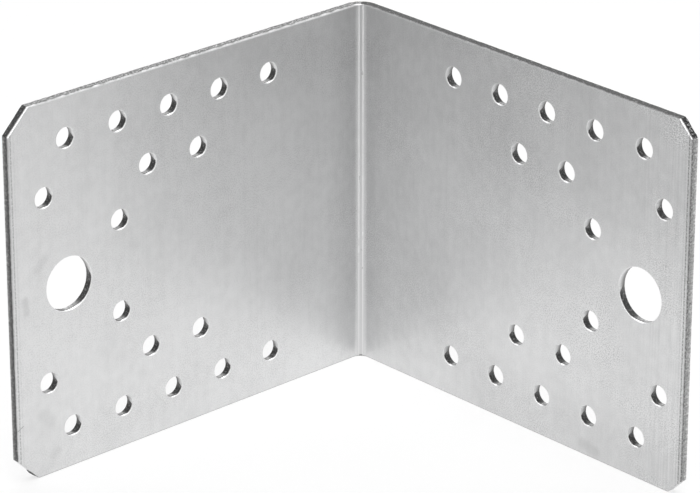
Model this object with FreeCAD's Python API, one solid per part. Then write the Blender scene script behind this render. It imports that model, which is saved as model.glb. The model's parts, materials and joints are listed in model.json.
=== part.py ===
"""Angle bracket: one steel sheet, punched, cut at its free corners and folded square."""
import FreeCAD, Part
import math
import os

Vector = FreeCAD.Vector

# Sheet and fold, in millimetres
thickness = 2.0
flange_length = 105.0  # inner corner to free edge, along the inner face of either flange
height = 90.0  # along the fold
bend_radius = 2.5  # inner radius of the fold

# Sheared edges and free corners
edge_roll = 0.3  # how far the shear and the punches roll the edges of the inner face
corner_cut = 4.8  # leg of the 45 degree cut at a free corner, before the pattern's shift

# Punched pattern, laid out from the free edge and from the sheet's long edges
pattern_shift = 1.0  # how far holes and corner cuts sit towards the right flange
nail_diameter = 5.0
bolt_diameter = 13.0
edge_distance = 15.0  # free edge to the outermost full column
column_pitch = 15.0
stagger = 6.5  # a staggered pair stands this far beyond its full column
long_edge_distance = 10.0  # lower or upper edge to the outer row
middle_row_gap = 45.0  # between the two staggered rows
inner_row_gap = 22.5  # between the two holes of the innermost pair

# Full columns are counted from the fold, and these ones carry more than the two outer holes
column_count = 5
staggered_columns = (2, 3, 5)
inner_pair_column = 4
bolt_column = 5


class Flange:
    """One leg of the bracket, in a frame that has the foot of the inner corner at its origin."""

    def __init__(self, along, outward, shift):
        self.along = along
        self.outward = outward
        self.shift = shift

    def point(self, distance, level, depth=0.0):
        """Point at a distance from the inner corner, a level above the foot and a depth in the sheet."""
        return self.along * distance + Vector(0, 0, level) + self.outward * depth

    def column(self, number):
        """Distance of a full column of holes from the inner corner."""
        last_column = flange_length - edge_distance + self.shift
        return last_column - (column_count - number) * column_pitch

    def nail_places(self):
        """Distance and level of each nail hole."""
        middle = height / 2
        outer_row = middle - long_edge_distance
        pairs = [(self.column(number), outer_row) for number in range(1, column_count + 1)]
        pairs += [(self.column(number) + stagger, middle_row_gap / 2) for number in staggered_columns]
        pairs.append((self.column(inner_pair_column), inner_row_gap / 2))
        return [(distance, middle + side * row) for distance, row in pairs for side in (-1, 1)]

    def punch(self, distance, level, diameter):
        """Round punch through the sheet, with the cone that it rolls into the rim on the inner face."""
        radius = diameter / 2
        start = self.point(distance, level, -thickness)
        shank = Part.makeCylinder(radius, 3 * thickness, start, self.outward)
        mouth = self.point(distance, level, -edge_roll)
        rolled = Part.makeCone(radius + 2 * edge_roll, radius, 2 * edge_roll, mouth, self.outward)
        return shank.fuse(rolled)

    def punches(self):
        """All the round punches of the flange."""
        nails = [self.punch(distance, level, nail_diameter) for distance, level in self.nail_places()]
        bolt = self.punch(self.column(bolt_column), height / 2, bolt_diameter)
        return nails + [bolt]

    def corner_cutters(self):
        """Three-sided prisms that take the two free corners off at 45 degrees."""
        leg = corner_cut - self.shift
        over = thickness
        prisms = []
        for level, inward in ((0.0, 1), (height, -1)):
            corners = [
                self.point(flange_length - leg - over, level - inward * over, -over),
                self.point(flange_length + over, level + inward * (leg + over), -over),
                self.point(flange_length + over, level - inward * over, -over),
            ]
            outline = Part.makePolygon(corners + corners[:1])
            prisms.append(Part.Face(outline).extrude(self.outward * (thickness + 2 * over)))
        return prisms


def fold_arc(radius, start, end):
    """Quarter round of the fold between two points of its section."""
    centre = Vector(bend_radius, -bend_radius, 0)
    middle = centre + Vector(-1, 1, 0) * (radius * math.sqrt(0.5))
    return Part.Arc(start, middle, end).toShape()


def folded_sheet(right, left):
    """Sheet of even thickness folded square, still with sharp edges and whole corners."""
    right_inner = [right.point(distance, 0) for distance in (bend_radius, flange_length)]
    right_outer = [right.point(distance, 0, thickness) for distance in (bend_radius, flange_length)]
    left_inner = [left.point(distance, 0) for distance in (bend_radius, flange_length)]
    left_outer = [left.point(distance, 0, thickness) for distance in (bend_radius, flange_length)]
    section = Part.Wire([
        Part.makeLine(right_inner[0], right_inner[1]),
        Part.makeLine(right_inner[1], right_outer[1]),
        Part.makeLine(right_outer[1], right_outer[0]),
        fold_arc(bend_radius + thickness, right_outer[0], left_outer[0]),
        Part.makeLine(left_outer[0], left_outer[1]),
        Part.makeLine(left_outer[1], left_inner[1]),
        Part.makeLine(left_inner[1], left_inner[0]),
        fold_arc(bend_radius, left_inner[0], right_inner[0]),
    ])
    return Part.Face(section).extrude(Vector(0, 0, height))


def is_inner(face, flanges):
    """True for a face on the concave side: a flange's inner face or the inside of the fold."""
    near = Part.Precision.confusion()
    if isinstance(face.Surface, Part.Cylinder):
        return face.Surface.Axis.z != 0 and abs(face.Surface.Radius - bend_radius) < near
    return any(
        all(abs(vertex.Point.dot(flange.outward)) < near for vertex in face.Vertexes)
        for flange in flanges
    )


def roll_outline(solid, flanges):
    """Round the edges where the inner face ends at the sheet's outline."""
    outline = [
        edge
        for edge in solid.Edges
        if not edge.Closed
        and sum(is_inner(face, flanges) for face in solid.ancestorsOfType(edge, Part.Face)) == 1
    ]
    return solid.makeFillet(edge_roll, outline)


def make_bracket():
    """The finished bracket, standing on its lower edges with the middle of its foot at the origin."""
    right = Flange(along=Vector(1, 0, 0), outward=Vector(0, 1, 0), shift=pattern_shift)
    left = Flange(along=Vector(0, -1, 0), outward=Vector(-1, 0, 0), shift=-pattern_shift)
    flanges = (right, left)
    corner_cutters = [cutter for flange in flanges for cutter in flange.corner_cutters()]
    punches = [punch for flange in flanges for punch in flange.punches()]
    blank = folded_sheet(right, left).cut(corner_cutters)
    bracket = roll_outline(blank, flanges).cut(punches).Solids[0]
    to_middle = (flange_length - thickness) / 2
    bracket.translate(Vector(-to_middle, to_middle, 0))
    return bracket


os.makedirs("parts", exist_ok=True)
make_bracket().exportStep("parts/bracket.step")
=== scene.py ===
"""Angle bracket of punched and folded galvanised sheet: its mesh, finish, studio and camera.

Lengths are metres in the frame's own axes. The fold runs along +Z, the right flange along +X and the left
flange along -Y, so the inside of the fold looks towards +X and -Y, where the camera stands.

A point of the sheet has three sheet coordinates: its run along the inner face from the middle of the fold,
positive on the right flange, its level along the fold, and its depth below the inner face.
"""

import json
import logging
import math
from dataclasses import dataclass, field
from enum import Enum
from typing import Any, NamedTuple

import bmesh
import bpy
import numpy as np
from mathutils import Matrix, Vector
from mathutils.geometry import delaunay_2d_cdt

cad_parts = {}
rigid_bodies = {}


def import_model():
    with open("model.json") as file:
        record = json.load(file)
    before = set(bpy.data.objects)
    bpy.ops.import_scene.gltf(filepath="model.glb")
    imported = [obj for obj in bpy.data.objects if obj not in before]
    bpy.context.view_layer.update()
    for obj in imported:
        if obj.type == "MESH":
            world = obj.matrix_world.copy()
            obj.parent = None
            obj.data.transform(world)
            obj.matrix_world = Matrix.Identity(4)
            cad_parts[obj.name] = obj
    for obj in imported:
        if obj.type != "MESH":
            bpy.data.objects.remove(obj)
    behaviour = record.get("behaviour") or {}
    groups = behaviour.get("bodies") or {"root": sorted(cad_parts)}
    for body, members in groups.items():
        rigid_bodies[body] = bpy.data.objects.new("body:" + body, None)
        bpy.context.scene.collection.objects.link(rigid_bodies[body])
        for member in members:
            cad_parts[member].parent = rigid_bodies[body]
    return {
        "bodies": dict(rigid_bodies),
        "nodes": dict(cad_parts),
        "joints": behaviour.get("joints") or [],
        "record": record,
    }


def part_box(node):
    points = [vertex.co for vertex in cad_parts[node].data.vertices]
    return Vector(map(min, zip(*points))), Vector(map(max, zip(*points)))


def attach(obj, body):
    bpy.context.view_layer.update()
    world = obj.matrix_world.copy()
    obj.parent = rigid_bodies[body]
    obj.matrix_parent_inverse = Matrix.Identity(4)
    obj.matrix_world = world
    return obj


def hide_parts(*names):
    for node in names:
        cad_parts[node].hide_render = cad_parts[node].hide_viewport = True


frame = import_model()

log = logging.getLogger("angle_bracket")

MM = 0.001
NODE = "bracket"
BODY = "root"
IMAGE_WIDTH = 700
SEED = 7
WELD_DISTANCE = 0.001 * MM
SHARP_ANGLE = math.radians(35)

# Which triangles the triangulation gives back, and how close it takes two points for one
INSIDE_OUTLINE = 1
SAME_POINT = 1e-9

Array = np.ndarray
Amount = float | Array
Colour = tuple[float, float, float, float]
Pair = tuple[float, float]
Triple = tuple[float, float, float]
Socket = bpy.types.NodeSocket


class EdgeLook(NamedTuple):
    """How a cut edge looks across the thickness of the sheet, as numbers or as arrays of them.

    Attributes:
        smooth: Share of the thickness that is smooth.
        tone: Tone of the torn rest.
        ragged: Raggedness of the torn rest.
        lip: Tone of the torn rest at the outer face.
        painted_light: How white a painted highlight makes the smooth share, or, where it is negative, how
            grey
        painted shade makes a punched wall, whose rim then gets a painted highlight.
    """

    smooth: Amount
    tone: Amount
    ragged: Amount
    lip: Amount
    painted_light: Amount = 0.0


class EdgeKind(Enum):
    """Cut edges of the sheet."""

    # Partly painted light and shade: upper left and right are one cut lit differently, the lower edge's dark
    # rim is a painted shadow line, and the free left edge's bright lip is a painted highlight
    UPPER_LEFT = EdgeLook(smooth=0.11, tone=0.2, ragged=0.8, lip=0.15)
    UPPER_RIGHT = EdgeLook(smooth=0.025, tone=0.02, ragged=0.5, lip=0.025)
    LOWER = EdgeLook(smooth=-0.05, tone=0.1, ragged=0.2, lip=0.07)
    FREE_LEFT = EdgeLook(smooth=0.12, tone=0.12, ragged=0.28, lip=0.33)
    FREE_RIGHT = EdgeLook(smooth=0.04, tone=0.37, ragged=0.3, lip=0.55)
    CORNER_LEFT = EdgeLook(smooth=0.18, tone=0.06, ragged=0.4, lip=0.04)
    CORNER_RIGHT = EdgeLook(smooth=0.2, tone=0.06, ragged=1.0, lip=0.04, painted_light=0.3)
    CORNER_LOWER = EdgeLook(smooth=0.95, tone=0.4, ragged=0.3, lip=0.25)
    HOLE = EdgeLook(smooth=0.12, tone=0.06, ragged=0.3, lip=0.06, painted_light=-0.75)


LOOKS = len(EdgeLook._fields)


def smooth_step(low: float, high: float, values: Array) -> Array:
    """Rise from 0 at low to 1 at high along 3 t^2 - 2 t^3, with t the share of the way, cut at both ends."""
    share = np.clip((values - low) / (high - low), 0.0, 1.0)
    return share * share * (3 - 2 * share)


def store(mesh: bpy.types.Mesh, name: str, domain: str, values: Array) -> None:
    """Give a mesh an attribute of one or three numbers for each point or corner.

    Args:
        mesh: The mesh.
        name: Name of the attribute.
        domain: POINT or CORNER.
        values: The numbers, shape (n,) or (n, 3).
    """
    kind, key = ("FLOAT", "value") if values.ndim == 1 else ("FLOAT_VECTOR", "vector")
    layer = mesh.attributes.new(name, kind, domain)
    layer.data.foreach_set(key, values.astype(np.float32).ravel())


def link(thing: bpy.types.Object) -> None:
    """Put an object into the scene."""
    bpy.context.scene.collection.objects.link(thing)


@dataclass(frozen=True)
class Patch:
    """A piece of surface in sheet coordinates, before it is folded.

    Attributes:
        places: Run, level and depth of each point, shape (n, 3).
        cut: How far each point lies through a cut edge, 0 on the faces of the sheet, shape (n,).
        faces: Corner indices, shape (m, 3) or (m, 4).
        kinds: The edge's look at each corner of each face, zero on the faces of the sheet, shape (m, 3, 5) or
            (m, 4, 5).
    """

    places: Array
    cut: Array
    faces: Array
    kinds: Array


@dataclass(frozen=True)
class Holes:
    """Round holes of one radius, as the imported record's mounts place them."""

    centres: Array
    radius: float


@dataclass(frozen=True)
class Fold:
    """The flat sheet and the way it is folded square.

    Attributes:
        corner: Plan position of the inner corner, where the inner faces would meet.
        flange: Inner corner to free edge.
        height: Length of the fold.
        thickness: Thickness of the sheet.
        radius: Inner radius of the fold.
        mark_run: Run of the two lines that the bending tool's nose pressed into the fold.
        mark_width: Half width of such a line.
        mark_height, mark_depth: How far the metal stands up along it, and the share of the thickness within
            which this fades out.
        mark_reach, mark_steps: Half the stretch round a line that has closer runs, in half widths, and their
            number.
        mark_clear: How far the even runs stay off a line, in half widths.
    """

    corner: Vector
    flange: float
    height: float
    thickness: float = 2.0 * MM
    radius: float = 2.5 * MM
    mark_run: float = 0.47 * MM
    mark_width: float = 0.12 * MM
    mark_height: float = 0.02 * MM
    mark_depth: float = 0.1
    mark_reach: float = 1.5
    mark_steps: int = 7
    mark_clear: float = 1.8

    @property
    def half_arc(self) -> float:
        """Half the length of the fold's inner arc, a quarter circle."""
        return self.radius * math.pi / 4

    @property
    def free_run(self) -> float:
        """Run of the free edge of the right flange."""
        return self.run_at(self.flange)

    def run_at(self, distance: float) -> float:
        """Run of a point that lies on a flange at a distance from the inner corner."""
        return distance - self.radius + self.half_arc

    def arc_runs(self, steps: int) -> Array:
        """Even runs across the fold, with closer ones over the tool's two lines.

        Args:
            steps: Number of even steps.

        Returns:
            The runs in rising order, shape (n,).
        """
        even = np.linspace(-self.half_arc, self.half_arc, steps + 1)
        across = np.linspace(-self.mark_reach, self.mark_reach, self.mark_steps)
        close = self.mark_run + self.mark_width * across
        between = np.abs(np.abs(even) - self.mark_run) > self.mark_clear * self.mark_width
        return np.sort(np.concatenate((even[between], close, -close)))

    def relief(self, run: Array, depth: Array) -> Array:
        """Height of the tool's lines: a bell round the run of each, which fades evenly with depth."""
        bell = np.exp(-(((np.abs(run) - self.mark_run) / self.mark_width) ** 2))
        return self.mark_height * bell * np.clip(1 - depth / (self.mark_depth * self.thickness), 0.0, 1.0)

    def place(self, places: Array) -> Array:
        """Fold flat points into space.

        The run is split in an arc part, cut off at half the arc, and a straight rest. The arc part turns the
        outward direction e from 45 degrees by run over radius, and the point is the fold's centre plus
        (radius + depth) times e plus the rest times the tangent of e.

        Args:
            places: Run, level and depth, shape (n, 3).

        Returns:
            Points in the row frame, shape (n, 3).
        """
        run, level, depth = places.T
        on_arc = np.clip(run, -self.half_arc, self.half_arc)
        turn = math.pi / 4 - on_arc / self.radius
        rest = run - on_arc
        reach = self.radius + depth - self.relief(run, depth)
        centre_x = self.corner.x + self.radius
        centre_y = self.corner.y - self.radius
        east = centre_x - reach * np.sin(turn) + rest * np.cos(turn)
        north = centre_y + reach * np.cos(turn) + rest * np.sin(turn)
        return np.column_stack((east, north, level))


@dataclass(frozen=True)
class ShearedEdge:
    """Section of a cut edge: rolled over at the inner face, burnished, then torn off towards the outer face.

    Attributes:
        roll: Width and depth of the rolled rim.
        burnish: Depth at which the smooth band ends, if a path doesn't say otherwise.
        lean: How far the torn band draws back at the outer face.
        margin: Width of the plain strip beside the edge on both faces.
        wander: Deepest pits of a fully ragged edge.
        roll_steps, torn_steps: Steps round the rolled rim and across the torn band.
    """

    roll: float = 0.3 * MM
    burnish: float = 0.9 * MM
    lean: float = 0.04 * MM
    margin: float = 0.2 * MM
    wander: float = 0.12 * MM
    roll_steps: int = 5
    torn_steps: int = 5

    def section(self, roll: Array, burnish: Array, thickness: float) -> tuple[Array, Array]:
        """Points across the edge, from the inner face to the outer one.

        The rim is a quarter circle: inset roll * (1 - sin a), depth roll * (1 - cos a). The burnished band
        goes straight down from it, and the torn band leans back evenly.

        Args:
            roll: Width and depth of the rolled rim at each path point, shape (loops, points).
            burnish: Depth at which the smooth band ends, of the same shape.
            thickness: Thickness of the sheet.

        Returns:
            Inset from the outline and depth below the inner face, each of shape (loops, points, steps).
        """
        angle = np.linspace(0.0, math.pi / 2, self.roll_steps + 1)
        share = np.linspace(0.0, 1.0, self.torn_steps + 1)
        rim, smooth = roll[..., None], burnish[..., None]
        wall = np.ones_like(rim)
        inset = np.concatenate((
            rim + self.margin,
            rim * (1 - np.sin(angle)),
            wall * self.lean * share,
            wall * (self.lean + self.margin),
        ), axis=2)
        depth = np.concatenate((
            0 * rim,
            rim * (1 - np.cos(angle)),
            smooth + (thickness - smooth) * share,
            wall * thickness,
        ), axis=2)
        return inset, depth


@dataclass(frozen=True)
class CutPath:
    """Closed paths that are cut through the flat sheet, with the sheet on their left.

    Attributes:
        points: Run and level of the path points, shape (loops, points, 2).
        kinds: The edge's look at the start of each side of the paths, shape (loops, points, 5).
        ends: Its look at the end of each side, shape (loops, points, 5).
        burr: How far torn metal stands out at each path point, shape (loops, points).
        roll: Width and depth of the rolled rim at each path point, shape (loops, points).
        burnish: Depth at which the smooth band ends at each path point, shape (loops, points).
    """

    points: Array
    kinds: Array
    ends: Array
    burr: Array
    roll: Array
    burnish: Array


def carry_section(path: CutPath, edge: ShearedEdge, thickness: float) -> Patch:
    """Carry an edge's section round closed paths in the flat sheet.

    A path point moves into the sheet by the section's inset along the mitre, the sum of the left normals of
    its two sides over one plus their product. In the torn band random pits, as deep as the edge is ragged,
    add to the inset and the burr takes away from it.

    Args:
        path: The paths.
        edge: The section to carry.
        thickness: Thickness of the sheet.

    Returns:
        The swept surface, with its points ordered loop, path point, section point.
    """
    side = np.roll(path.points, -1, axis=1) - path.points
    side /= np.linalg.norm(side, axis=2, keepdims=True)
    normal = np.stack((-side[..., 1], side[..., 0]), axis=2)
    before = np.roll(normal, 1, axis=1)
    mitre = (normal + before) / (1 + np.sum(normal * before, axis=2, keepdims=True))
    inset, depth = edge.section(path.roll, path.burnish, thickness)
    loops, points, steps = inset.shape
    cut = depth / thickness
    cut[..., -1] = 0.0
    draw = np.random.default_rng(SEED + points).random((loops, points, steps))
    ragged = EdgeLook(*np.moveaxis(path.kinds, 2, 0)).ragged[..., None]
    pits = draw * np.roll(draw, 1, axis=1) * edge.wander * ragged
    torn = np.where(depth > path.burnish[..., None], cut, 0.0)
    inward = inset + (pits - path.burr[..., None]) * torn
    flat = path.points[:, :, None, :] + mitre[:, :, None, :] * inward[..., None]
    places = np.concatenate((flat, depth[..., None]), axis=3).reshape(-1, 3)
    index = np.arange(loops * points * steps).reshape(loops, points, steps)
    along = np.roll(index, -1, axis=1)
    corners = (index[..., :-1], index[..., 1:], along[..., 1:], along[..., :-1])
    faces = np.stack(corners, axis=3).reshape(-1, 4)
    corner_kinds = np.stack((path.kinds, path.kinds, path.ends, path.ends), axis=2).reshape(-1, 4, LOOKS)
    return Patch(places, cut.reshape(-1), faces, np.repeat(corner_kinds, steps - 1, axis=0))


def ring_of(patch: Patch, loops: int, points: int, last: bool) -> Array:
    """The first or last row of a swept patch, as run and level, shape (loops, points, 2)."""
    rows = patch.places.reshape(loops, points, -1, 3)
    return rows[:, :, -1 if last else 0, :2]


@dataclass(frozen=True)
class Burr:
    """Torn metal that stands out along part of a cut.

    Attributes:
        height: How far it stands out at most.
        low, high: Shares of the cut at which it starts and ends.
        fade, rise: Shares over which it fades out at its end and rises at its start.
        least: Height of the smallest teeth, as a share of the largest.
    """

    height: float
    low: float
    high: float
    fade: float
    rise: float = 0.1
    least: float = 0.4

    def along(self, count: int, draw: np.random.Generator) -> Array:
        """Height along the cut: random teeth times a rise and a fall.

        Args:
            count: Number of even points along the cut.
            draw: Gives the random teeth.

        Returns:
            The height at each point, shape (count,).
        """
        share = np.arange(count) / count
        teeth = draw.uniform(self.least, 1.0, count)
        rise = smooth_step(self.low, self.low + self.rise, share)
        fall = smooth_step(self.high, self.high - self.fade, share)
        return self.height * teeth * rise * fall


@dataclass
class PunchedSheet:
    """The whole bracket: one folded sheet with its punched holes and cut corners.

    Heights on a hole go from -1 at its bottom to 1 at its top.

    Attributes:
        fold: The sheet and its fold.
        holes: The punched holes, one entry for each radius.
        shift: How far the pattern and the corner cuts sit towards the right flange.
        corner_cut: Leg of a corner's 45 degree cut before the shift.
        edge: Section of the outline and the holes.
        path_step, cut_step, hole_step, grid_step: Spacing of points along the outline, along a corner cut,
            round a hole and on the faces.
        arc_steps: Steps across the fold.
        right_burr, left_burr, lower_burr: Burrs of the upper cuts and of the torn rest of the lower left one.
        tear_start: Share of the lower left cut that is clean.
        upper_roll, hole_roll: Width and depth of the rolled rim of the upper left edge and of a hole.
        roll_fade: Length over which the former narrows towards its ends.
        torn_burnish: Depth at which the smooth band of the upper right edge ends.
        wall_light_turn: Mean and spread of the angle by which the painted light and shade on a hole's wall is
            turned.
        top_tear: What is torn at the top of a hole, as a share of the wall times the hole's radius.
            top_heights, foot_heights: Heights on a hole between which its wall becomes smooth and
                coat-coloured as
            painted light, at its top and, counted downwards, at its bottom.
        foot_smooth: Smooth share of the wall at its bottom.
        side_heights: Heights between which the torn tone of the wall's side becomes brighter as painted
            light.
        wall_painted_light: What the torn tone gains as painted light at the side, the top and the bottom.
    """

    fold: Fold
    holes: list[Holes]
    shift: float
    corner_cut: float = 4.8 * MM
    edge: ShearedEdge = field(default_factory=ShearedEdge)
    path_step: float = 0.6 * MM
    cut_step: float = 0.3 * MM
    hole_step: float = 0.36 * MM
    grid_step: float = 3.0 * MM
    arc_steps: int = 20
    right_burr: Burr = Burr(height=0.14 * MM, low=0.6, high=0.98, fade=0.15)
    left_burr: Burr = Burr(height=0.14 * MM, low=0.02, high=0.4, fade=0.2)
    lower_burr: Burr = Burr(height=0.35 * MM, low=0.0, high=1.0, fade=0.2)
    tear_start: float = 0.62
    upper_roll: float = 0.5 * MM
    hole_roll: float = 0.2 * MM
    roll_fade: float = 3.0 * MM
    torn_burnish: float = 0.36 * MM
    wall_light_turn: Pair = (0.12, 0.1)
    top_tear: float = 0.35 * MM
    top_heights: Pair = (-0.15, 0.2)
    foot_heights: Pair = (0.88, 1.0)
    foot_smooth: float = 0.28
    side_heights: Pair = (-0.5, 0.0)
    wall_painted_light: Triple = (0.1, 0.12, 0.3)

    @classmethod
    def from_frame(cls, packed: dict[str, Any]) -> "PunchedSheet":
        """Read the sheet's size from the node's box and its holes from the record's mounts.


        Returns:
            The sheet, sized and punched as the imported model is.
        """
        low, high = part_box(NODE)
        corner = Vector((low.x + Fold.thickness, high.y - Fold.thickness))
        fold = Fold(corner, high.x - corner.x, high.z - low.z)
        by_radius: dict[float, list[Pair]] = {}
        middle_runs = {}
        for mount in packed["record"]["mounts"]:
            dims = mount["dims"]
            radius = dims.get("hole_r_mm", dims.get("r_mm"))
            if radius is None:
                continue
            east, north, level = mount["pos_m"]
            on_right = mount["axis"][1] > 0.5
            distance = east - corner.x if on_right else corner.y - north
            across = dims.get("spacing_x_mm", 0.0) * MM / 2
            upward = dims.get("spacing_y_mm", 0.0) * MM / 2
            side = 1.0 if on_right else -1.0
            places = {
                (side * fold.run_at(distance + a), level + u)
                for a in (-across, across)
                for u in (-upward, upward)
            }
            by_radius.setdefault(radius * MM, []).extend(sorted(places))
            if mount["kind"] == "bore":
                middle_runs[on_right] = distance
        holes = [Holes(np.array(places), radius) for radius, places in sorted(by_radius.items())]
        return cls(fold, holes, (middle_runs[True] - middle_runs[False]) / 2)

    def stations(self) -> Array:
        """Runs along the long edges, close together across the fold, between the corner cuts.

        Returns:
            The runs in rising order, shape (n,).
        """
        fold = self.fold
        first = -fold.free_run + self.corner_cut + self.shift
        last = fold.free_run - self.corner_cut + self.shift
        left_count = round((-fold.half_arc - first) / self.path_step)
        right_count = round((last - fold.half_arc) / self.path_step)
        return np.concatenate((
            np.linspace(first, -fold.half_arc, left_count, endpoint=False),
            fold.arc_runs(self.arc_steps)[:-1],
            np.linspace(fold.half_arc, last, right_count + 1),
        ))

    def outline(self) -> CutPath:
        """The sheet's outline, anticlockwise from the lower left cut.

        The lower left cut was torn off towards its lower end, so metal stands out there, and a little metal
        stands out at the upper ends of the upper cuts. The upper left edge is rolled over further than the
        rest, which fades out towards the cut and the fold.

        Returns:
            The outline as one loop.
        """
        run = self.stations()
        top = self.fold.height
        left, right = -self.fold.free_run, self.fold.free_run
        left_leg, right_leg = run[0] - left, right - run[-1]

        def straight(start: Pair, end: Pair, step: float) -> Array:
            """Even points from start to end, without the end."""
            return np.linspace(start, end, round(math.dist(start, end) / step), endpoint=False)

        lower = np.column_stack((run, np.zeros(len(run))))
        upper = np.column_stack((run, np.full(len(run), top)))[::-1]
        right_count = len(run) - 1 - np.searchsorted(run, 0.0)
        cuts = [
            straight((run[-1], 0.0), (right, right_leg), self.cut_step),
            straight((right, top - right_leg), (run[-1], top), self.cut_step),
            straight((run[0], top), (left, top - left_leg), self.cut_step),
            straight((left, left_leg), (run[0], 0.0), self.cut_step),
        ]
        free_right = straight((right, right_leg), (right, top - right_leg), self.path_step)
        free_left = straight((left, top - left_leg), (left, left_leg), self.path_step)
        tear = round(len(cuts[3]) * self.tear_start)
        sides = [
            (lower[:-1], EdgeKind.LOWER, None),
            (cuts[0], EdgeKind.CORNER_LOWER, None),
            (free_right, EdgeKind.FREE_RIGHT, None),
            (cuts[1], EdgeKind.CORNER_RIGHT, self.right_burr),
            (upper[:right_count], EdgeKind.UPPER_RIGHT, None),
            (upper[right_count:-1], EdgeKind.UPPER_LEFT, None),
            (cuts[2], EdgeKind.CORNER_LEFT, self.left_burr),
            (free_left, EdgeKind.FREE_LEFT, None),
            (cuts[3][:tear], EdgeKind.CORNER_LOWER, None),
            (cuts[3][tear:], EdgeKind.CORNER_LEFT, self.lower_burr),
        ]
        draw = np.random.default_rng(SEED)
        path = np.concatenate([points for points, kind, burr in sides])
        kinds = np.concatenate([np.tile(kind.value, (len(points), 1)) for points, kind, burr in sides])
        burrs = np.concatenate([
            burr.along(len(points), draw) if burr else np.zeros(len(points)) for points, kind, burr in sides])
        from_ends = np.minimum(path[:, 0] - run[0], -path[:, 0])
        wide = smooth_step(0.0, self.roll_fade, from_ends) * (path[:, 1] == top)
        roll = self.edge.roll + (self.upper_roll - self.edge.roll) * wide
        upper_right = (path[:, 1] == top) & (path[:, 0] > 0)
        burnish = np.where(upper_right, self.torn_burnish, self.edge.burnish)
        return CutPath(path[None], kinds[None], kinds[None], burrs[None], roll[None], burnish[None])

    def hole_paths(self, holes: Holes) -> CutPath:
        """Circles round the holes of one radius, clockwise, so that the sheet is on their left.

        The wall carries painted light and shade: it is smooth and coat-coloured at the top of a hole and
        partly so at its very bottom, and mostly dark torn steel at its sides. The smooth share is a smooth
        step of the height on the hole, the sine of the angle less a lean that differs from hole to hole. The
        torn tone becomes brighter in the same way, as painted light.

        Args:
            holes: The holes.

        Returns:
            The circles, one loop each.
        """
        eighth = round(math.tau * holes.radius / self.hole_step / 8)
        angle = -np.linspace(0.0, math.tau, 8 * eighth, endpoint=False)
        circle = holes.radius * np.column_stack((np.cos(angle), np.sin(angle)))
        lean = np.random.default_rng(SEED).normal(*self.wall_light_turn, len(holes.centres))
        upward = np.sin(angle[None] - lean[:, None])
        look = EdgeKind.HOLE.value
        # Painted light and shade on the wall: smooth coat at the top and partly at the bottom, dark torn
        # steel at the sides
        above = smooth_step(*self.top_heights, upward)
        below = smooth_step(*self.foot_heights, -upward)
        clean = 1 - self.top_tear / holes.radius
        share = look.smooth + (clean - look.smooth) * above + (self.foot_smooth - look.smooth) * below
        # Painted light: the torn tone brightens at the side, the top and the bottom
        at_side, at_top, at_foot = self.wall_painted_light
        wall_painted_light = at_side * smooth_step(*self.side_heights, upward) + at_top * above + at_foot * below
        same = np.ones_like(share)
        ragged, painted_light = same * look.ragged, same * look.painted_light
        kinds = np.stack((share, look.tone + wall_painted_light, ragged, look.lip + wall_painted_light, painted_light), axis=2)
        return CutPath(
            points=holes.centres[:, None, :] + circle[None],
            kinds=kinds,
            ends=np.roll(kinds, -1, axis=1),
            burr=0 * same,
            roll=self.hole_roll * same,
            burnish=self.edge.burnish * same,
        )

    def grid(self, reaches: list[float]) -> Array:
        """A grid of runs and levels over a face, clear of the outline and of circles round the holes.

        Args:
            reaches: Radius of the circles, one for each entry of holes.

        Returns:
            The points, shape (n, 2).
        """
        fold = self.fold
        run, level = np.meshgrid(
            np.unique(np.concatenate((
                np.arange(-fold.free_run, -fold.half_arc, self.grid_step),
                fold.arc_runs(self.arc_steps),
                np.arange(fold.half_arc, fold.free_run, self.grid_step) + self.grid_step,
            ))),
            np.arange(self.grid_step / 2, fold.height, self.grid_step),
        )
        points = np.column_stack((run.ravel(), level.ravel()))
        room = self.grid_step / 4
        border = self.outline().points[0]
        side = np.roll(border, -1, axis=0) - border
        normal = np.column_stack((-side[:, 1], side[:, 0])) / np.linalg.norm(side, axis=1, keepdims=True)
        off_border = ((points[:, None] - border[None]) * normal[None]).sum(2).min(1)
        clear = off_border > self.upper_roll + self.edge.margin + room
        for holes, reach in zip(self.holes, reaches):
            clear &= np.linalg.norm(points[:, None] - holes.centres[None], axis=2).min(1) > reach + room
        return points[clear]

    def face(self, rings: list[Array], depth: float, outward: bool) -> Patch:
        """One face of the sheet: a grid of runs and levels, triangulated between the edges' rings.

        Args:
            rings: Closed rings on this face, each of shape (loops, points, 2), the outline first.
            depth: Depth of the face in the sheet.
            outward: True for the outer face.

        Returns:
            The face as triangles.
        """
        hole_rings = list(zip(self.holes, rings[1:]))
        reaches = [np.linalg.norm(ring[0] - holes.centres[0], axis=1).max() for holes, ring in hole_rings]
        loops = [loop for ring in rings for loop in ring]
        starts = np.cumsum([0] + [len(loop) for loop in loops])
        links = [
            np.column_stack((np.arange(len(loop)), (np.arange(len(loop)) + 1) % len(loop))) + start
            for loop, start in zip(loops, starts)
        ]
        flat = np.concatenate(loops + [self.grid(reaches)])
        sides = np.concatenate(links).tolist()
        made = delaunay_2d_cdt(flat.tolist(), sides, [], INSIDE_OUTLINE, SAME_POINT)
        points, faces = np.array(made[0]), np.array(made[2])
        centre = points[faces].mean(1)
        keep = np.ones(len(faces), bool)
        for (holes, ring), reach in zip(hole_rings, reaches):
            within = reach * math.cos(math.pi / ring.shape[1])
            keep &= np.linalg.norm(centre[:, None] - holes.centres[None], axis=2).min(1) > within
        faces = faces[keep]
        first, second, third = points[faces].transpose(1, 0, 2)
        turn = np.cross(second - first, third - first)
        wrong = (turn > 0) == outward
        faces[wrong] = faces[wrong][:, ::-1]
        places = np.column_stack((points, np.full(len(points), depth)))
        return Patch(places, np.zeros(len(points)), faces, np.zeros((len(faces), 3, LOOKS)))

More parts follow.
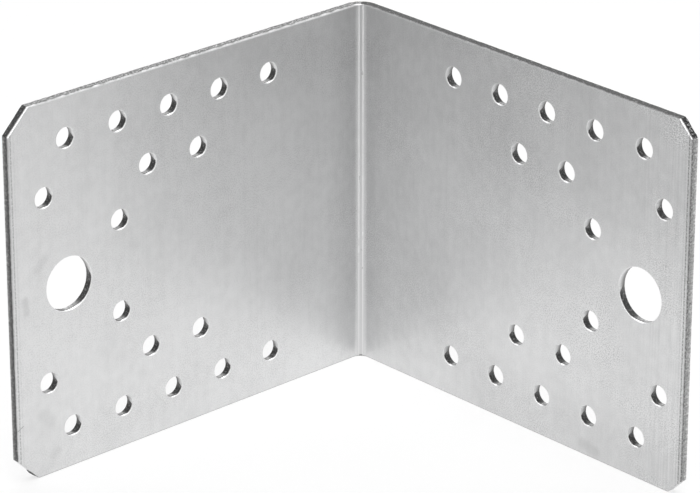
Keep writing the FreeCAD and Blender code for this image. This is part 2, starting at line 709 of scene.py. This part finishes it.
    def patches(self) -> list[Patch]:
        """Make all the surfaces of the sheet.

        Returns:
            Its cut edges, the outline first, then its inner face and its outer face.
        """
        thickness = self.fold.thickness
        paths = [self.outline()]
        paths += [self.hole_paths(holes) for holes in self.holes]
        edges = [carry_section(path, self.edge, thickness) for path in paths]
        sizes = [path.roll.shape for path in paths]
        inner = [ring_of(edge, *size, last=False) for edge, size in zip(edges, sizes)]
        outer = [ring_of(edge, *size, last=True) for edge, size in zip(edges, sizes)]
        return edges + [self.face(inner, 0.0, False), self.face(outer, thickness, True)]

    def build(self) -> bpy.types.Object:
        """Fold the patches, join them into one closed mesh and hand it to the frame.

        Returns:
            The finished piece, at the origin.
        """
        patches = self.patches()
        starts = np.cumsum([0] + [len(patch.places) for patch in patches])
        places = np.concatenate([patch.places for patch in patches])
        faces: list[list[int]] = []
        for patch, start in zip(patches, starts):
            faces += (patch.faces + start).tolist()
        mesh = bpy.data.meshes.new("folded_sheet")
        mesh.from_pydata(self.fold.place(places).tolist(), [], faces)
        cut = np.concatenate([patch.cut for patch in patches])
        looks = EdgeLook(*np.concatenate([patch.kinds.reshape(-1, LOOKS) for patch in patches]).T)
        store(mesh, "sheet", "POINT", places)
        store(mesh, "cut", "POINT", cut)
        store(mesh, "torn", "CORNER", np.column_stack((looks.smooth, looks.tone, looks.ragged)))
        store(mesh, "lip_tone", "CORNER", looks.lip)
        store(mesh, "rubbed", "CORNER", looks.painted_light)
        joined = bmesh.new()
        joined.from_mesh(mesh)
        bmesh.ops.remove_doubles(joined, verts=joined.verts, dist=WELD_DISTANCE)
        joined.to_mesh(mesh)
        joined.free()
        mesh.polygons.foreach_set("use_smooth", np.ones(len(mesh.polygons), bool))
        mesh.set_sharp_from_angle(angle=SHARP_ANGLE)
        piece = bpy.data.objects.new("folded_sheet", mesh)
        link(piece)
        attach(piece, BODY)
        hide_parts(NODE)
        log.info("%s: %d faces", piece.name, len(mesh.polygons))
        return piece


@dataclass(frozen=True)
class Value:
    """A number that changes over a surface. Python's operators on it add Math nodes."""

    tree: "Nodes"
    socket: Socket

    def math(self, operation: str, *others: Any) -> "Value":
        """Add a Math node with this value first and the others after it."""
        sockets = dict(enumerate((self, *others)))
        return self.tree.node("ShaderNodeMath", {"operation": operation}, sockets).value(0)

    def flipped(self, operation: str, other: Any) -> "Value":
        """Add a Math node with the other value first and this one second."""
        return self.tree.node("ShaderNodeMath", {"operation": operation}, {0: other, 1: self}).value(0)

    def __add__(self, other: Any) -> "Value":
        """This plus the other."""
        return self.math("ADD", other)

    __radd__ = __add__

    def __sub__(self, other: Any) -> "Value":
        """This less the other."""
        return self.math("SUBTRACT", other)

    def __rsub__(self, other: Any) -> "Value":
        """The other less this."""
        return self.flipped("SUBTRACT", other)

    def __mul__(self, other: Any) -> "Value":
        """This times the other."""
        return self.math("MULTIPLY", other)

    __rmul__ = __mul__

    def __truediv__(self, other: Any) -> "Value":
        """This over the other."""
        return self.math("DIVIDE", other)

    def __rtruediv__(self, other: Any) -> "Value":
        """The other over this."""
        return self.flipped("DIVIDE", other)

    def ranged(self, low: float, high: float, **settings: Any) -> "Value":
        """Add a Map Range node from 0 at low to 1 at high."""
        sockets = {"Value": self, "From Min": low, "From Max": high}
        return self.tree.node("ShaderNodeMapRange", settings, sockets).value("Result")

    def ease(self, low: float, high: float) -> "Value":
        """Smooth step from 0 at low to 1 at high, which falls if low is the larger."""
        return self.ranged(low, high, interpolation_type="SMOOTHSTEP")

    def ramp(self, low: float, high: float) -> "Value":
        """Straight ramp from 0 at low to 1 at high, cut off at both ends."""
        return self.ranged(low, high, clamp=True)

    def between(self, start: Any, end: Any) -> "Value":
        """Start where this is 0, end where it is 1, and evenly between them."""
        return self * (end - start) + start

    def most(self, other: Any) -> "Value":
        """The larger of this and the other."""
        return self.math("MAXIMUM", other)


@dataclass(frozen=True)
class Made:
    """A node that has just been added, with its outputs at hand."""

    tree: "Nodes"
    node: bpy.types.Node

    def value(self, output: int | str) -> Value:
        """An output as a number for expressions."""
        return Value(self.tree, self.node.outputs[output])

    def out(self, output: int | str = 0) -> Socket:
        """An output as a plain socket, for colours, vectors and shaders."""
        return self.node.outputs[output]


class Nodes:
    """Builds the node tree of one material or of the world."""

    def __init__(self, owner: bpy.types.ID) -> None:
        """Start an empty tree.

        Args:
            owner: The material or world.
        """
        owner.use_nodes = True
        self.tree = owner.node_tree
        self.tree.nodes.clear()

    def node(self, kind: str, settings: dict[str, Any], sockets: dict[int | str, Any]) -> Made:
        """Add any node.

        Args:
            kind: The node's type.
            settings: Its properties, which are set first.
            sockets: Values or links for its inputs, by name or index.

        Returns:
            The node with its outputs.
        """
        made = self.tree.nodes.new(kind)
        for name, setting in settings.items():
            setattr(made, name, setting)
        for key, given in sockets.items():
            socket = made.inputs[key]
            if isinstance(given, Value):
                given = given.socket
            if isinstance(given, Socket):
                self.tree.links.new(given, socket)
            else:
                socket.default_value = given
        return Made(self, made)

    def attribute(self, name: str) -> Made:
        """Add a node that reads one of the mesh's attributes."""
        return self.node("ShaderNodeAttribute", {"attribute_name": name}, {})

    def vector(self, operation: str, first: Any, second: Any) -> Made:
        """Add a Vector Math node."""
        return self.node("ShaderNodeVectorMath", {"operation": operation}, {0: first, 1: second})

    def noise(self, place: Any, draw: Triple, scale: float, detail: float) -> Value:
        """Noise from 0 to 1 at a place whose coordinates are multiplied by draw."""
        sockets = {"Vector": self.vector("MULTIPLY", place, draw).out(), "Scale": scale, "Detail": detail}
        return self.node("ShaderNodeTexNoise", {}, sockets).value("Fac")

    def split(self, vector: Socket) -> tuple[Value, Value, Value]:
        """The three numbers of a vector."""
        made = self.node("ShaderNodeSeparateXYZ", {}, {0: vector})
        return made.value("X"), made.value("Y"), made.value("Z")

    def blend(self, factor: Value, first: Any, second: Any) -> Socket:
        """Mix two colours by a factor."""
        return self.node("ShaderNodeMix", {"data_type": "RGBA"}, {0: factor, 6: first, 7: second}).out(2)

    def sight(self) -> tuple[Value, Value]:
        """Masks of what is in sight.

        Returns:
            A mask of the camera's own rays, and one of these with what is mirrored or seen through glass.
        """
        path = self.node("ShaderNodeLightPath", {}, {})
        camera = path.value("Is Camera Ray")
        return camera, camera.most(path.value("Is Glossy Ray")).most(path.value("Is Transmission Ray"))


class Noise(NamedTuple):
    """Noise over the sheet.

    Attributes:
        draw: Factors of the sheet coordinates. A small one draws the noise out along its coordinate.
        scale: Cells per metre.
        detail: Octaves.
    """

    draw: Triple
    scale: float
    detail: float


class Grain(Enum):
    """The noises of the finish, from rolling lines along the fold to crumbs of torn steel."""

    LINES = Noise((1.0, 0.02, 0.0), 1800.0, 3.0)
    BANDS = Noise((1.0, 0.08, 0.0), 160.0, 2.0)
    CLOUDS = Noise((1.0, 1.0, 0.0), 55.0, 4.0)
    MOTTLE = Noise((1.0, 0.7, 0.0), 480.0, 4.0)
    SPECKS = Noise((1.0, 1.0, 0.0), 3200.0, 2.0)
    DUST = Noise((1.0, 1.6, 0.0), 30.0, 2.0)
    JAG = Noise((1.0, 1.0, 0.0), 2400.0, 3.0)
    WAVER = Noise((1.0, 1.0, 0.0), 500.0, 2.0)
    CRUMBLE = Noise((1.0, 1.0, 1.0), 2200.0, 3.0)


class Step(Enum):
    """Smooth steps of the finish: what is looked at, where the step is 0 and where it is 1."""

    INNER_FACE = ("depth", 0.5 * MM, 0.2 * MM)
    LEFT = ("run", -1.5 * MM, -12.5 * MM)
    RIGHT = ("run", -1.0 * MM, 1.0 * MM)
    # Painted shade on the outer part of the right flange, where the specks are also stronger
    WORN_AND_SHADED = ("run", 30.0 * MM, 125.0 * MM)
    # Painted shade beside the fold, weaker at its foot
    FOLD_SHADED = ("level", 0.0, 20.0 * MM)
    DUSTY = (Grain.DUST, 0.42, 0.62)
    # Painted shade at the foot of the flanges, away from the fold and more on the right flange
    FOOT_SHADE_LEVEL = ("level", 20.0 * MM, 5.0 * MM)
    FOOT_SHADE_REACH = ("reach", 15.0 * MM, 45.0 * MM)
    RIGHT_FOOT_SHADE = ("run", 20.0 * MM, 50.0 * MM)
    # Painted shade on the upper right flange
    UPPER_SHADE_LEVEL = ("level", 45.0 * MM, 75.0 * MM)
    UPPER_SHADE_RUN = ("run", 10.0 * MM, 60.0 * MM)
    STRAINED = ("reach", 1.2 * MM, 0.5 * MM)
    FULL_MARK = ("level", 0.0, 45.0 * MM)
    # Painted highlight on the bending tool's lines, more diffuse towards the top
    MARK_HIGHLIGHT_TOP = ("level", 50.0 * MM, 85.0 * MM)
    PIT = (Grain.MOTTLE, 0.63, 0.7)
    PIT_REACH = ("reach", 0.6 * MM, 0.2 * MM)
    DRAGGED = (Grain.JAG, 0.3, 0.6)
    # Painted highlight on cut edges, from just off the face
    EDGE_HIGHLIGHT_START = ("cut", 0.0, 0.02)
    # Painted highlight on the rims of the holes
    RIM = ("cut", 0.1, 0.06)
    # Painted shade on the walls of the holes
    HOLE_WALL_SHADE = ("cut", 0.1, 0.8)
    TORN = ("cut", 0.0, 0.03)
    LIP = ("cut", 0.45, 1.0)
    SEAM = (Grain.JAG, 0.35, 0.55)
    FLECK = (Grain.CRUMBLE, 0.56, 0.7)


Weights = tuple[tuple[Grain, float], ...]


class Surface:
    """What the finish reads from the mesh, as values over its surface.

    These are the sheet coordinates, the reach, which is the run without its sign, the cut, the edge's look,
    what is punched, where the look's painted light is negative and walls get painted shade, and the noises.
    """

    def __init__(self, tree: Nodes) -> None:
        """Add the nodes that read the mesh's attributes, and the noises.

        Args:
            tree: The material's nodes.
        """
        sheet = tree.attribute("sheet").out("Vector")
        self.run, self.level, self.depth = tree.split(sheet)
        self.reach = self.run.math("ABSOLUTE")
        self.smooth, self.tone, self.ragged = tree.split(tree.attribute("torn").out("Vector"))
        self.cut = tree.attribute("cut").value("Fac")
        self.lip = tree.attribute("lip_tone").value("Fac")
        self.painted_light = tree.attribute("rubbed").value("Fac")
        self.punched = (self.painted_light * -1.0).ramp(0.0, 1.0)
        self.noises = {grain: tree.noise(sheet, *grain.value) for grain in Grain}

    def step(self, step: Step) -> Value:
        """Add one of the finish's smooth steps.

        Args:
            step: Which one.

        Returns:
            The step, from 0 to 1.
        """
        source, start, end = step.value
        value = self.noises[source] if isinstance(source, Grain) else getattr(self, source)
        return value.ease(start, end)

    def swing(self, grain: Grain) -> Value:
        """A noise about its mean."""
        return self.noises[grain] - 0.5

    def mixed(self, weights: Weights) -> Value:
        """Sum of noises about their means, each times its weight."""
        return sum((self.swing(grain) * weight for grain, weight in weights), 0.0)


@dataclass(frozen=True)
class CoatTone:
    """Tone of the coat, from 0 where it is dullest to 1 where it is brightest.

    It is a plain tone plus a weighted sum of noises, less painted shade beside the fold, at the foot of the
    flanges, on the upper right flange and on the outer right flange, plus painted light on the left flange.

    Attributes:
        plain: Tone of the clean coat.
        contrast, weights: Weight of all the noises together, and of those that are the same all over.
        lines: Weights of the rolling lines, in general and beside the right free edge.
        drawn: Distances from that edge between which the one passes into the other.
        specks: Weights of the specks, in general, where dust lies, and where it lies on a worn coat.
        outer_right_shade, foot_shade, right_foot_shade, upper_right_shade: Tone that each takes away as
        painted
            shade: on the outer right flange, at the foot away from the fold, more at the foot of the right
                flange,
            and on the upper right flange.
        fold_shade: Tone that painted shade takes away beside the fold, on the right flange and on the left
            one.
        fold_shade_reach: Reach between which the painted shade sets in.
        fold_shade_slant: How much further it reaches on the right flange.
        fold_shade_foot: Share of it at the foot of the fold.
        left_painted_light: Tone that the left flange gains as painted light.
    """

    plain: float = 0.85
    contrast: float = 0.42
    weights: Weights = ((Grain.BANDS, 0.45), (Grain.CLOUDS, 0.8), (Grain.MOTTLE, 0.9))
    lines: Pair = (0.35, 1.95)
    drawn: Pair = (18.0 * MM, 4.0 * MM)
    specks: Triple = (1.0, 3.3, 10.3)
    outer_right_shade: float = 0.15
    foot_shade: float = 0.08
    right_foot_shade: float = 0.11
    upper_right_shade: float = 0.22
    fold_shade: Pair = (0.32, -0.01)
    fold_shade_reach: Pair = (38.0 * MM, 4.0 * MM)
    fold_shade_slant: float = 0.4
    fold_shade_foot: float = 0.4
    left_painted_light: float = 0.03

    def over(self, at: Surface, free_run: float) -> Value:
        """Work the tone out over a surface.

        Args:
            at: The surface.
            free_run: Run of its right free edge.

        Returns:
            The tone, from 0 to 1.
        """
        drawn = (free_run - at.run).ease(*self.drawn)
        worn_and_shaded, left = at.step(Step.WORN_AND_SHADED), at.step(Step.LEFT)
        clean, dusty, worn_dusty = self.specks
        specks = at.step(Step.DUSTY).between(clean, worn_and_shaded.between(dusty, worn_dusty))
        noises = at.mixed(self.weights) + at.swing(Grain.LINES) * drawn.between(*self.lines)
        noises = noises + at.swing(Grain.SPECKS) * specks
        # Painted shade beside the fold, reaching further on the right flange
        fold_shade = (at.reach - at.run * self.fold_shade_slant).ease(*self.fold_shade_reach) * left.between(*self.fold_shade)
        fold_shade = fold_shade * at.step(Step.FOLD_SHADED).between(self.fold_shade_foot, 1.0)
        # Painted shade at the foot of the flanges and on the upper right flange
        foot_shade = at.step(Step.FOOT_SHADE_REACH) * self.foot_shade + at.step(Step.RIGHT_FOOT_SHADE) * self.right_foot_shade
        upper_right_shade = at.step(Step.UPPER_SHADE_LEVEL) * at.step(Step.UPPER_SHADE_RUN) * self.upper_right_shade
        # All that is lost is painted shade, and the left flange gains painted light
        lost = worn_and_shaded * self.outer_right_shade + fold_shade + at.step(Step.FOOT_SHADE_LEVEL) * foot_shade + upper_right_shade
        return (noises * self.contrast + self.plain - lost + left * self.left_painted_light).ramp(0.0, 1.0)


@dataclass(frozen=True)
class TornSteel:
    """Bare steel beyond the smooth share of a cut edge.

    The line between the two wanders with noise, and a dark seam with gaps follows it. Lengths here are shares
    of the thickness.

    Attributes:
        tear: Weights of the noises that tear the edge.
        tear_shift, waver_shift: How far the tear and a slower noise move the line.
        mottling, flecks: How far the tear and bright flecks change the tone.
        seam: How dark the seam is.
        seam_place: Its distance beyond the line.
        seam_border: Distance from its middle at which it has faded out and is full.
        softness: Length over which the line is soft.
        hole_softness: The same on a hole's wall, and what its smooth share adds to it.
        tones: Tones of the darkest and the brightest colour.
    """

    tear: Weights = ((Grain.JAG, 0.6), (Grain.CRUMBLE, 0.9))
    tear_shift: float = 0.15
    waver_shift: float = 0.4
    mottling: float = 7.0
    flecks: float = 0.45
    seam: float = 0.8
    seam_place: float = 0.1
    seam_border: Pair = (0.14, 0.03)
    softness: float = 0.16
    hole_softness: Pair = (0.04, 0.3)
    tones: Pair = (0.02, 0.8)

    def over(self, at: Surface) -> tuple[Value, Value, Value]:
        """Work the bare steel out over a surface.

        Args:
            at: The surface.

        Returns:
            The tear as a height, the mask of bare steel, and its tone from 0 to 1.
        """
        tear = at.mixed(self.tear)
        waver = at.swing(Grain.WAVER) * at.ragged
        beyond = at.cut + tear * self.tear_shift + waver * self.waver_shift - at.smooth
        seam = (beyond - self.seam_place).math("ABSOLUTE").ease(*self.seam_border)
        lit = 1.0 - seam * at.step(Step.SEAM) * self.seam
        flecks = at.step(Step.FLECK) * at.ragged * self.flecks
        tone = at.step(Step.LIP).between(at.tone, at.lip)
        tone = (tone * (1.0 + at.ragged * tear * self.mottling) + flecks) * lit
        sharpest, gain = self.hole_softness
        softness = at.punched.between(self.softness, at.smooth * gain + sharpest)
        bare = (beyond / softness).ease(-1.0, 1.0) * at.step(Step.TORN)
        return at.ragged * tear, bare, tone.ramp(*self.tones)


@dataclass(frozen=True)
class Scratch:
    """A straight scratch or smudge on the inner face, from one run and level to another.

    Attributes:
        start, end: Its ends.
        width: Distance from its line at which it has faded out.
        strength: How dark it is.
        core: Share of the width that is full.
    """

    start: Pair
    end: Pair
    width: float
    strength: float
    core: float = 0.2

    def over(self, at: Surface) -> Value:
        """Its strength on the line from start to end, eased to 0 at the width.

        Args:
            at: The surface.

        Returns:
            How dark it is over the surface.
        """
        (run, level), (run_1, level_1) = self.start, self.end
        along, upward = run_1 - run, level_1 - level
        off_run, off_level = at.run - run, at.level - level
        share = ((off_run * along + off_level * upward) / (along ** 2 + upward ** 2)).ramp(0.0, 1.0)
        across, over = off_run - share * along, off_level - share * upward
        near = (across * across + over * over).math("SQRT")
        return near.ease(self.width, self.core * self.width) * self.strength


@dataclass(frozen=True)
class ZincFinish:
    """Satin zinc coat on rolled steel, with darker bare steel where the sheet was cut.

    Attributes:
        coat_low, coat_high: Colours of the coat where it is dullest and brightest.
        painted_highlight, strained, dirt_and_wall_shade: Its colours of painted highlight on the bending
        tool's lines and on cut edges, where the fold stretched it, and in pits, dirt and the painted shade of
        punched walls.
        bare_low, bare_high: Colours of the darkest and the brightest torn steel.
        rough_weights, bumps: What the noises add to the coat's roughness and to its bumps.
        bare_dullness: Share of a torn edge that scatters light instead of mirroring it.
        specular: Strength of the reflection where light is scattered.
        strain: Share of the strained colour along the fold.
        polish: How much smoother the bending tool's lines are.
        mark_border: Distance at which such a line has faded out and is full, in half widths.
        mark_foot: Its strength at the foot of the fold.
        mark_highlight_shares: Its shares of painted highlight colour where the rolling lines' noise is 0 and
            1.
        mark_highlight_diffuse: Its shares that scatter light, so that the painted highlight shows, below and
            at the top.
        drag_lines: Distance from a free edge and strength of the faint lines that the shear leaves.
        drag_border: Distance at which such a line has faded out and is full.
        left_drag: Share of its strength on the left flange.
        relief, soil_depth: Height of a full bump, and the share of it by which dirt lies deeper.
    """

    fold: Fold
    tone: CoatTone = CoatTone()
    torn: TornSteel = TornSteel()
    coat_low: Colour = (0.477, 0.479, 0.482, 1.0)
    coat_high: Colour = (0.868, 0.87, 0.872, 1.0)
    painted_highlight: Colour = (0.97, 0.97, 0.97, 1.0)
    strained: Colour = (0.66, 0.663, 0.666, 1.0)
    # Dark colour of dirt, also used as painted shade on punched walls
    dirt_and_wall_shade: Colour = (0.12, 0.12, 0.12, 1.0)
    bare_low: Colour = (0.02, 0.02, 0.02, 1.0)
    bare_high: Colour = (0.8, 0.8, 0.8, 1.0)
    roughness: float = 0.34
    bare_roughness: float = 0.5
    rough_weights: Weights = ((Grain.LINES, 0.06), (Grain.CLOUDS, 0.08), (Grain.MOTTLE, 0.06))
    bumps: Weights = ((Grain.LINES, 0.04), (Grain.SPECKS, 0.05), (Grain.MOTTLE, 0.08))
    bare_dullness: float = 0.85
    specular: float = 0.2
    strain: float = 0.8
    polish: float = 0.08
    mark_border: Pair = (1.4, 0.2)
    mark_foot: float = 0.5
    mark_highlight_shares: Pair = (0.7, 1.2)
    mark_highlight_diffuse: Pair = (0.6, 0.85)
    pits: float = 0.7
    drag_lines: tuple[Pair, ...] = ((0.68 * MM, 0.75), (1.5 * MM, 0.16))
    drag_border: Pair = (0.3 * MM, 0.06 * MM)
    left_drag: float = 0.6
    relief: float = 0.05 * MM
    soil_depth: float = 0.3
    scratches: tuple[Scratch, ...] = (
        Scratch((-104.3 * MM, 13.5 * MM), (-102.8 * MM, 14.3 * MM), 0.14 * MM, 0.6),
        Scratch((92.1 * MM, 8.0 * MM), (91.6 * MM, 5.6 * MM), 0.12 * MM, 0.2),
        Scratch((92.6 * MM, 8.2 * MM), (92.4 * MM, 5.4 * MM), 0.1 * MM, 0.2),
        Scratch((95.0 * MM, 8.4 * MM), (95.6 * MM, 7.3 * MM), 0.12 * MM, 0.15),
        Scratch((-0.25 * MM, 0.3 * MM), (0.25 * MM, 0.35 * MM), 0.3 * MM, 0.6),
        Scratch((-95.0 * MM, 13.0 * MM), (-97.0 * MM, 15.0 * MM), 2.4 * MM, 0.1),
        Scratch((-93.4 * MM, 5.0 * MM), (-94.0 * MM, 4.6 * MM), 2.0 * MM, 0.1),
        Scratch((-101.2 * MM, 44.5 * MM), (-100.8 * MM, 41.5 * MM), 1.4 * MM, 0.15),
        Scratch((-95.2 * MM, 53.0 * MM), (-97.5 * MM, 51.0 * MM), 1.8 * MM, 0.09),
        Scratch((74.0 * MM, 2.6 * MM), (78.0 * MM, 1.8 * MM), 2.2 * MM, 0.14),
    )

    def mark(self, at: Surface) -> Value:
        """Mask of the two lines that the bending tool pressed and smoothed along the fold, which carry a
        painted highlight.

        Args:
            at: The surface.

        Returns:
            The mask, from 0 to 1.
        """
        off_mark = (at.reach - self.fold.mark_run).math("ABSOLUTE") / self.fold.mark_width
        strength = at.step(Step.FULL_MARK).between(self.mark_foot, 1.0)
        return off_mark.ease(*self.mark_border) * at.step(Step.INNER_FACE) * strength

    def painted_light(self, at: Surface) -> Value:
        """Mask of painted highlight on cut edges: smooth shares, and the rims of the holes."""
        return at.painted_light.most(at.punched * at.step(Step.RIM)) * at.step(Step.EDGE_HIGHLIGHT_START)

    def soil(self, at: Surface) -> Value:
        """Mask of pits along the fold, lines beside the free edges and scratches on the inner face.

        Args:
            at: The surface.

        Returns:
            The mask, from 0 to 1.
        """
        soil = at.step(Step.PIT) * at.step(Step.PIT_REACH) * self.pits
        dragged = at.step(Step.DRAGGED) * at.step(Step.RIGHT).between(self.left_drag, 1.0)
        for inset, strength in self.drag_lines:
            off_line = (self.fold.free_run - inset - at.reach).math("ABSOLUTE")
            soil = soil.most(off_line.ease(*self.drag_border) * dragged * strength)
        for scratch in self.scratches:
            soil = soil.most(scratch.over(at))
        return soil * at.step(Step.INNER_FACE)

    def material(self) -> bpy.types.Material:
        """Make the material from the sheet's own coordinates and the mesh's edge attributes.

        The coat lies lowest. Over it come the strained fold, painted highlight on the fold's tool lines and
        on cut edges, dirt with painted shade on punched walls, and on cut edges bare steel.

        Returns:
            The finished material.
        """
        made = bpy.data.materials.new("zinc_coat")
        tree = Nodes(made)
        at = Surface(tree)
        mark, painted_light, soil = self.mark(at), self.painted_light(at), self.soil(at)
        tear, bare, bare_tone = self.torn.over(at)
        # Painted highlight along the bending tool's lines, partly diffuse so that it shows
        white = mark * at.noises[Grain.LINES].between(*self.mark_highlight_shares)
        highlight_diffuse = mark * at.step(Step.MARK_HIGHLIGHT_TOP).between(*self.mark_highlight_diffuse)
        colour = tree.blend(self.tone.over(at, self.fold.free_run), self.coat_low, self.coat_high)
        for mask, cover in (
            (at.step(Step.STRAINED) * self.strain, self.strained),
            # Painted highlight on the tool's lines and on cut edges
            (white.most(painted_light), self.painted_highlight),
            # Dirt, and painted shade on the walls of the holes
            (soil.most(at.punched * at.step(Step.HOLE_WALL_SHADE)).ramp(0.0, 1.0), self.dirt_and_wall_shade),
            (bare, tree.blend(bare_tone, self.bare_low, self.bare_high)),
        ):
            colour = tree.blend(mask, colour, cover)
        rough = at.mixed(self.rough_weights) + bare.between(self.roughness, self.bare_roughness)
        height = at.mixed(self.bumps) + bare * tear - soil * self.soil_depth
        bump = tree.node("ShaderNodeBump", {}, {"Strength": 1.0, "Distance": self.relief, "Height": height})
        shader = tree.node("ShaderNodeBsdfPrincipled", {}, {
            "Base Color": colour,
            "Metallic": 1.0 - (bare * self.bare_dullness).most(highlight_diffuse).most(painted_light),
            "Specular IOR Level": self.specular,
            "Roughness": rough - mark * self.polish,
            "Normal": bump.out("Normal"),
        })
        tree.node("ShaderNodeOutputMaterial", {}, {"Surface": shader.out()})
        return made


def from_angles(azimuth: float, elevation: float) -> Vector:
    """Unit vector towards a direction that is given as two angles.

    Args:
        azimuth: Degrees round +Z, 0 at -Y and 90 at +X.
        elevation: Degrees above the horizon.

    Returns:
        The vector: sine and minus cosine of the azimuth times the cosine of the elevation, and its sine.
    """
    around, above = math.radians(azimuth), math.radians(elevation)
    flat = math.cos(above)
    return Vector((math.sin(around) * flat, -math.cos(around) * flat, math.sin(above)))


def grey(level: float) -> Colour:
    """An even grey."""
    return (level, level, level, 1.0)


@dataclass(frozen=True)
class PhotoCamera:
    """The photograph's camera: a long lens that looks down into the fold."""

    azimuth: float = 47.26
    elevation: float = 23.1
    distance: float = 933 * MM
    focal_pixels: float = 4128.0
    aim: Triple = (-18.06 * MM, 17.03 * MM, 48.72 * MM)
    clip_start: float = 10 * MM

    def build(self) -> bpy.types.Object:
        """Set the camera up at its distance behind the aim and make it the scene's camera.

        Returns:
            The camera.
        """
        back = from_angles(self.azimuth, self.elevation)
        lens = bpy.data.cameras.new("photo_camera")
        lens.lens = self.focal_pixels * lens.sensor_width / IMAGE_WIDTH
        lens.clip_start = self.clip_start
        camera = bpy.data.objects.new("photo_camera", lens)
        camera.rotation_mode = "QUATERNION"
        camera.location = Vector(self.aim) + back * self.distance
        camera.rotation_quaternion = (-back).to_track_quat("-Z", "Y")
        link(camera)
        bpy.context.scene.camera = camera
        return camera


@dataclass(frozen=True)
class Lamp:
    """A soft square lamp that looks at the middle of the table."""

    name: str
    azimuth: float
    elevation: float
    distance: float
    size: float
    power: float

    def hang(self) -> None:
        """Hang the lamp at its place on a sphere round the object."""
        back = from_angles(self.azimuth, self.elevation)
        data = bpy.data.lights.new(self.name, "AREA")
        data.size = self.size
        data.energy = self.power
        lamp = bpy.data.objects.new(self.name, data)
        lamp.location = back * self.distance
        lamp.rotation_euler = (-back).to_track_quat("-Z", "Y").to_euler()
        link(lamp)


@dataclass(frozen=True)
class Studio:
    """Table and surround that show white, and the light that falls on the bracket.

    Attributes:
        table_size, table_grey: Side of the table and its paint.
        glow: Share of the table's white that reaches the camera and the metal without shadow.
        near, far: What the metal mirrors of that white under the bracket and in front of it.
        fall: Distances towards the camera between which the one passes into the other.
        horizon, zenith: Light of the surround at the horizon and overhead.
        rise: Heights of a unit direction between which the one passes into the other.
        backdrop: Azimuth and elevation of the bright backdrop behind the bracket.
        backdrop_light: Its light.
        backdrop_border: Cosines from its middle between which it begins.
    """

    table_size: float = 4.0
    table_grey: float = 0.92
    glow: float = 0.75
    near: float = 0.86
    far: float = 0.2
    fall: Pair = (0.02, 0.22)
    horizon: float = 0.3
    zenith: float = 0.15
    rise: Pair = (0.2, 0.8)
    backdrop: Pair = (-138.0, 26.0)
    backdrop_light: float = 0.85
    backdrop_border: Pair = (0.75, 0.95)
    lamps: tuple[Lamp, ...] = (
        Lamp("back_lamp", -135.0, 47.0, 1.2, 0.95, 6.0),
        Lamp("front_lamp", 45.0, 38.0, 1.2, 0.6, 2.0),
        Lamp("top_lamp", 60.0, 75.0, 1.2, 0.8, 9.0),
    )

    def lay_table(self) -> None:
        """Lay the table: one large flat face under the bracket."""
        half = self.table_size / 2
        corners = [(-half, -half, 0), (half, -half, 0), (half, half, 0), (-half, half, 0)]
        mesh = bpy.data.meshes.new("table")
        mesh.from_pydata(corners, [], [(0, 1, 2, 3)])
        paint = bpy.data.materials.new("table_paint")
        tree = Nodes(paint)
        camera, seen = tree.sight()
        place = tree.node("ShaderNodeTexCoord", {}, {}).out("Object")
        forward = tuple(from_angles(PhotoCamera.azimuth, 0.0))
        ahead = tree.vector("DOT_PRODUCT", place, forward).value("Value")
        mirrored = tree.blend(ahead.ease(*self.fall), grey(self.near), grey(self.far))
        shown = tree.blend(camera, mirrored, grey(1.0))
        matt = tree.node("ShaderNodeBsdfDiffuse", {}, {"Color": grey(self.table_grey)})
        white = tree.node("ShaderNodeEmission", {}, {"Color": shown, "Strength": 1.0})
        both = tree.node("ShaderNodeMixShader", {}, {0: seen * self.glow, 1: matt.out(), 2: white.out()})
        tree.node("ShaderNodeOutputMaterial", {}, {"Surface": both.out()})
        mesh.materials.append(paint)
        table = bpy.data.objects.new("table", mesh)
        link(table)

    def surround(self) -> None:
        """Set the world: white in sight, and as light a bright backdrop on grey that darkens upwards."""
        world = bpy.data.worlds.new("surround")
        bpy.context.scene.world = world
        tree = Nodes(world)
        seen = tree.sight()[1]
        direction = tree.node("ShaderNodeTexCoord", {}, {}).out("Generated")
        up = tree.split(direction)[2]
        dark = tree.blend(up.ease(*self.rise), grey(self.horizon), grey(self.zenith))
        behind = tuple(from_angles(*self.backdrop))
        facing = tree.vector("DOT_PRODUCT", direction, behind).value("Value")
        lit = tree.blend(facing.ease(*self.backdrop_border), dark, grey(self.backdrop_light))
        light = tree.node("ShaderNodeBackground", {}, {"Color": lit, "Strength": 1.0})
        white = tree.node("ShaderNodeBackground", {}, {"Color": grey(1.0), "Strength": 1.0})
        both = tree.node("ShaderNodeMixShader", {}, {0: seen, 1: light.out(), 2: white.out()})
        tree.node("ShaderNodeOutputWorld", {}, {"Surface": both.out()})

    def build(self) -> None:
        """Lay the table, hang the lamps and set the surround."""
        self.lay_table()
        for lamp in self.lamps:
            lamp.hang()
        self.surround()


def main() -> None:
    """Build the bracket, its finish, the studio and the camera, in that order."""
    logging.basicConfig(level=logging.INFO, format="%(name)s: %(message)s")
    bpy.context.scene.view_settings.view_transform = "Standard"
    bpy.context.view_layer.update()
    bracket = PunchedSheet.from_frame(frame)
    piece = bracket.build()
    piece.data.materials.append(ZincFinish(bracket.fold).material())
    Studio().build()
    PhotoCamera().build()


if __name__ == "__main__":
    main()
